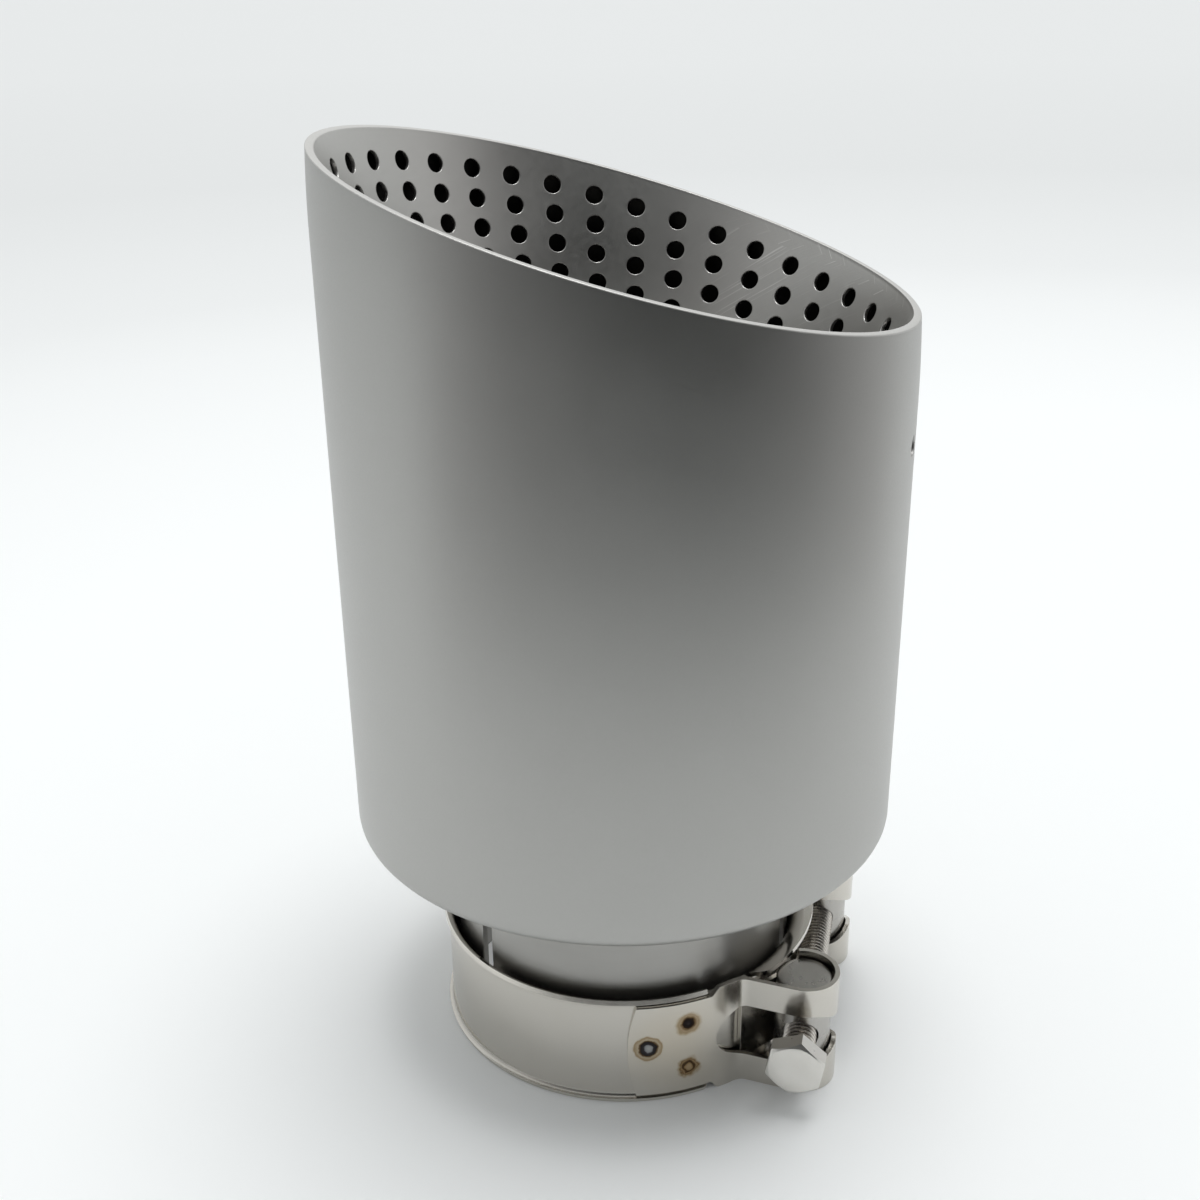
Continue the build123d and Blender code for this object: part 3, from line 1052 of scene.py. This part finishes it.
def make_strap(name, node, mirrored):
    """One strap: a plate on the band, two arms round the trunnion and a returning end."""
    columns = strap_columns()
    arm_steps = 8
    rows = [(-1, step / arm_steps) for step in range(arm_steps + 1)]
    rows += [(1, 1 - step / arm_steps) for step in range(arm_steps + 1)]
    widths = {run: strap_half_widths(run) for run in columns}
    sign = 1 if mirrored else -1
    lift_start = strap_mid_r * radians(plate_end_angle - plate_lift_angle)

    def height(run, row):
        half, window = widths[run]
        return row[0] * (half + (window - half) * row[1])

    def place(run, row, side):
        up = height(run, row)
        end_round = plate_end_round_r - sqrt(plate_end_round_r**2 - up**2)
        moved = run + end_round * max(0.0, 1 - run / plate_end_run) ** 2
        (x, y), (normal_x, normal_y) = strap_path.at(moved)
        spring = smooth_step((moved - lift_start) / (strap_path.plate_end - lift_start))
        spring *= 1 - smooth_step((moved - strap_path.plate_end) / plate_lift_run)
        offset = strap_thickness * (0.5 - side) + plate_lift * spring
        x, y = x + normal_x * offset, y + normal_y * offset
        return from_clamp(x, -sign * y, band_mid_z + up)

    def cell(column, row):
        return "gap" if row == arm_steps and widths[columns[column + 1]][1] > 0 else "sheet"

    mesh = bmesh.new()
    add_sheet(mesh, place, lambda run, index: (run, index), columns, rows, kind=cell)
    bmesh.ops.remove_doubles(mesh, verts=mesh.verts, dist=weld_distance)
    bmesh.ops.dissolve_degenerate(mesh, edges=mesh.edges, dist=weld_distance)
    welds = []
    for angle, z, look in spot_welds:
        x, y = polar(strap_outer_r, angle)
        welds.append((from_clamp(x, y if mirrored else -y, z), look))
    material = polished_strip_material(name + "_steel", welds)
    finish_piece(name, mesh, (material,), node, "polished_clamp", strap_edge_round)


# Trunnions and bolt


def clamp_matrix(x, y, z, lie_down=False):
    """The frame of a turned piece of the clamp: its own Z is upright, or along the bolt."""
    matrix = Matrix.Translation([value * MM for value in from_clamp(x, y, z)])
    matrix = matrix @ Matrix.Rotation(radians(clamp_angle), 4, "Z")
    return matrix @ Matrix.Rotation(radians(-90), 4, "X") if lie_down else matrix


def circle(radius, z, count=72):
    """A ring of points round Z."""
    return [(*polar(radius, index * 360 / count), z) for index in range(count)]


def make_trunnion(name, node, side, clearance, material):
    """A barrel with softened ends, cross drilled for the bolt."""
    half = trunnion_length / 2
    radius = trunnion_d / 2
    place = (trunnion_x, side * trunnion_y, band_mid_z)
    mesh = bmesh.new()
    edge_steps, drill_steps = 5, 48
    turns = [radians(turn) for turn in spread(0, 90, edge_steps)]
    edge = [(trunnion_edge * (1 - sin(turn)), trunnion_edge * (1 - cos(turn))) for turn in turns]
    face_r = radius - 2 * trunnion_edge
    lower = [circle(radius - inward, -half + down) for inward, down in edge]
    upper = [circle(radius - inward, half - down) for inward, down in edge[::-1]]
    add_rings(mesh, [circle(face_r, -half)] + lower + upper + [circle(face_r, half)])
    piece = finish_piece(name, mesh, (material,), node, "turned_steel", matrix=clamp_matrix(*place))
    drill = bmesh.new()
    add_rings(drill, [circle(bolt_d / 2 + clearance, z, drill_steps) for z in (-trunnion_d, trunnion_d)])
    drill.transform(Matrix.Scale(MM, 4))
    cutter = mesh_object("drill", drill)
    cutter.matrix_world = clamp_matrix(*place, lie_down=True)
    cut = piece.modifiers.new("cross_hole", "BOOLEAN")
    cut.object = cutter
    cut.solver = "EXACT"
    bpy.context.view_layer.update()
    drilled = piece.evaluated_get(bpy.context.evaluated_depsgraph_get())
    piece.data = bpy.data.meshes.new_from_object(drilled)
    piece.modifiers.clear()
    bpy.data.objects.remove(cutter)
    mesh = bmesh.new()
    mesh.from_mesh(piece.data)
    bmesh.ops.remove_doubles(mesh, verts=mesh.verts, dist=2 * weld_distance * MM)
    mark_edges(mesh, crease_angle)
    mesh.to_mesh(piece.data)
    mesh.free()


def add_hex_head(mesh):
    """The hexagon head below Z = 0, with its bevelled face."""
    count = 96
    flat_r = bolt_head_face_d / 2

    def hex_radius(angle):
        return bolt_head_width / 2 / cos(radians((angle - bolt_head_turn) % 60 - 30))

    def ring(radius_at, z_at):
        angles = [index * 360 / count + bolt_head_turn for index in range(count)]
        return [(*polar(radius_at(angle), angle), z_at(radius_at(angle))) for angle in angles]

    def face_z(radius):
        return max(0.0, radius - flat_r) * tan(radians(bolt_head_bevel_angle)) - bolt_head_height

    rings = [ring(lambda angle: bolt_d / 2 - bolt_head_seat_inset, lambda radius: 0.0)]
    rings.append(ring(lambda angle: hex_radius(angle) - bolt_head_edge_width, lambda radius: 0.0))
    rings.append(ring(hex_radius, lambda radius: -bolt_head_edge_height))
    for share in (1.0, 0.66, 0.33, 0.0):
        rings.append(ring(lambda angle: flat_r + (hex_radius(angle) - flat_r) * share, face_z))
    rings.append(ring(lambda angle: flat_r / 2, face_z))
    add_rings(mesh, rings)


def add_thread(mesh):
    """The screw's shank as one right-handed thread, from inside the head to its bevelled tip."""
    around = 40
    # Radius share and place within one pitch: root, flank, crest, flank
    outline = ((0.0, 0.0), (0.0, 0.12), (1.0, 0.46), (1.0, 0.62))
    root_r = bolt_d / 2 - bolt_thread_depth
    tip_r = bolt_d / 2 - bolt_tip_bevel
    # Turns past both ends fall together there, and so close the thread's seam
    spare_turns = 3
    turns = range(-spare_turns, int(bolt_length / bolt_pitch) + spare_turns)
    grid = []
    for step in range(around):
        line = []
        for turn in turns:
            for share, place in outline:
                z = (turn + place + step / around) * bolt_pitch
                radius = root_r + bolt_thread_depth * share
                if z < -bolt_thread_sink:
                    z, radius = -bolt_thread_sink, root_r
                z = min(z, bolt_length)
                radius = min(radius, tip_r + bolt_length - z)
                line.append(mesh.verts.new((*polar(radius, step * 360 / around), z)))
        grid.append(line)
    for step in range(around):
        near = grid[step]
        far = grid[(step + 1) % around]
        if step + 1 == around:
            near = near[len(outline) :]
        for row in range(len(near) - 1):
            corners = (near[row], far[row], far[row + 1], near[row + 1])
            add_face(mesh, corners, material_index=1)
    add_face(mesh, [line[0] for line in grid[::-1]])
    add_face(mesh, [line[-1] for line in grid])


def make_bolt():
    """The clamp's screw with its hexagon head and thread."""
    mesh = bmesh.new()
    add_hex_head(mesh)
    add_thread(mesh)
    matrix = clamp_matrix(trunnion_x, bolt_seat_y, band_mid_z, lie_down=True)
    materials = (bolt_material(), thread_material())
    finish_piece("bolt_skin", mesh, materials, "clamp_bolt", "bolt_steel", matrix=matrix)


satin_liner_steel = satin_liner_material()
make_sleeve(satin_liner_steel)
make_funnel(satin_liner_steel)
make_neck()
make_band()
make_tongue()
make_strap("head_strap_skin", "head_loop_strap", False)
make_strap("nut_strap_skin", "nut_loop_strap", True)
barrel_steel = turned_steel_material()
make_trunnion("head_trunnion_skin", "head_trunnion", -1, bolt_through_clearance, barrel_steel)
make_trunnion("nut_trunnion_skin", "nut_trunnion", 1, bolt_thread_clearance, barrel_steel)
make_bolt()

# Floor, light and camera


def make_floor():
    """A wide pale floor, with painted shade that makes it a little greyer far away."""
    reach, drop = 30.0, 0.00003
    centre, near, far = (0.15, 0.10, 0.0), 0.35, 3.35
    # Painted shade: the floor's grey level falls from near to far
    stops = ((0.0, 0.95), (0.045, 0.915), (0.085, 0.875), (0.13, 0.815), (0.24, 0.765), (0.32, 0.74))
    stops += ((1.0, 0.765),)
    tint = (1.0, 1.015, 1.018)
    mesh = bmesh.new()
    corners = [(x * reach, y * reach, 0.0) for x, y in ((-1, -1), (1, -1), (1, 1), (-1, 1))]
    mesh.faces.new([mesh.verts.new(corner) for corner in corners])
    floor = mesh_object("floor", mesh)
    floor.location.z = -drop
    shader = Shader("floor_paper", 0.6, 0.0)
    away = shader.share(shader.vector("DISTANCE", shader.place(), centre), near, far)
    colours = [(stop, tuple(level * part for part in tint)) for stop, level in stops]
    floor.data.materials.append(shader.set(Base_Color=shader.ramp(away, colours)))


def make_world():
    """Soft light all round, brighter behind and above the object than in front of it."""
    bright_side, low, high, seen_level = Vector((-0.05, 0.60, 0.80)), 0.03, 0.87, 0.80
    world = bpy.data.worlds.new("studio")
    bpy.context.scene.world = world
    world.use_nodes = True
    tree = Nodes(world.node_tree)
    place = tree.add("ShaderNodeTexCoord").outputs["Generated"]
    toward = tree.vector("DOT_PRODUCT", place, bright_side.normalized())
    level = tree.share(toward, -1.0, 1.0, low, high)
    camera_ray = tree.add("ShaderNodeLightPath").outputs["Is Camera Ray"]
    strength = tree.add("ShaderNodeMix", {0: camera_ray, 2: level, 3: seen_level}).outputs[0]
    tree.feed(tree.nodes["Background"], {"Strength": strength, "Color": (0.98, 1.0, 1.0, 1)})


def make_lamp():
    """A wide, soft and far lamp that shines from above."""
    source, spread_angle, strength = Vector((0.06, 0.09, 0.99)), 32, 1.22
    data = bpy.data.lights.new("top_lamp", "SUN")
    data.angle = radians(spread_angle)
    data.energy = strength
    lamp = add_object("top_lamp", data)
    lamp.matrix_world = source.to_track_quat("Z", "Y").to_matrix().to_4x4()


def make_flag():
    """A dark curved screen in front, which only the metal's reflections show."""
    radius, high, columns = 0.28, 0.40, 41
    # Its faint glow at angles round the object
    glows = ((-150, 0.55), (-120, 0.20), (-85, (0.06, 0.062, 0.062)), (-50, (0.02, 0.022, 0.022)))
    glows += ((-20, 0.13), (0, 0.40), (30, 0.70))
    mesh = bmesh.new()
    posts = []
    for angle in spread(glows[0][0], glows[-1][0], columns):
        posts.append([mesh.verts.new((*polar(radius, angle), z)) for z in (0.0, high)])
    for near, far in zip(posts, posts[1:]):
        mesh.faces.new((near[0], far[0], far[1], near[1]))
    flag = mesh_object("flag", mesh)
    shader = Shader("flag_cloth", 0.9, 0.0)
    shader.set(Base_Color=(0.0, 0.0, 0.0, 1), Specular_IOR_Level=0.0, Emission_Strength=1.0)
    x, y, _ = shader.split(shader.place())
    turn = shader.share(shader.math("ARCTAN2", y, x), -pi, pi)
    glow = shader.ramp(turn, [(0.5 + angle / 360, level) for angle, level in glows])
    flag.data.materials.append(shader.set(Emission_Color=glow))
    for ray in ("camera", "diffuse", "shadow", "transmission"):
        setattr(flag, "visible_" + ray, False)


def make_camera():
    """The photograph's viewpoint, fitted to the object's outlines."""
    azimuth, elevation, roll = radians(10.0), radians(22.962), radians(-0.703)
    distance, aside, aim_z = 0.269412, -0.003941, 0.085264
    focal_pixels, frame_pixels = 1469.447, 1200
    back = Vector((sin(azimuth) * cos(elevation), -cos(azimuth) * cos(elevation), sin(elevation)))
    right = Vector((cos(azimuth), sin(azimuth), 0))
    up = back.cross(right)
    rolled_right = right * cos(roll) + up * sin(roll)
    rolled_up = up * cos(roll) - right * sin(roll)
    data = bpy.data.cameras.new("camera")
    data.sensor_width = 36.0
    data.lens = focal_pixels / frame_pixels * data.sensor_width
    data.clip_start = 0.01
    data.clip_end = 100.0
    camera = add_object("camera", data)
    axes = Matrix((rolled_right, rolled_up, back)).transposed().to_4x4()
    place = Vector((0, 0, aim_z)) + right * aside + back * distance
    camera.matrix_world = Matrix.Translation(place) @ axes
    bpy.context.scene.camera = camera


make_floor()
make_world()
make_lamp()
make_flag()
make_camera()
bpy.context.scene.view_settings.view_transform = "Standard"
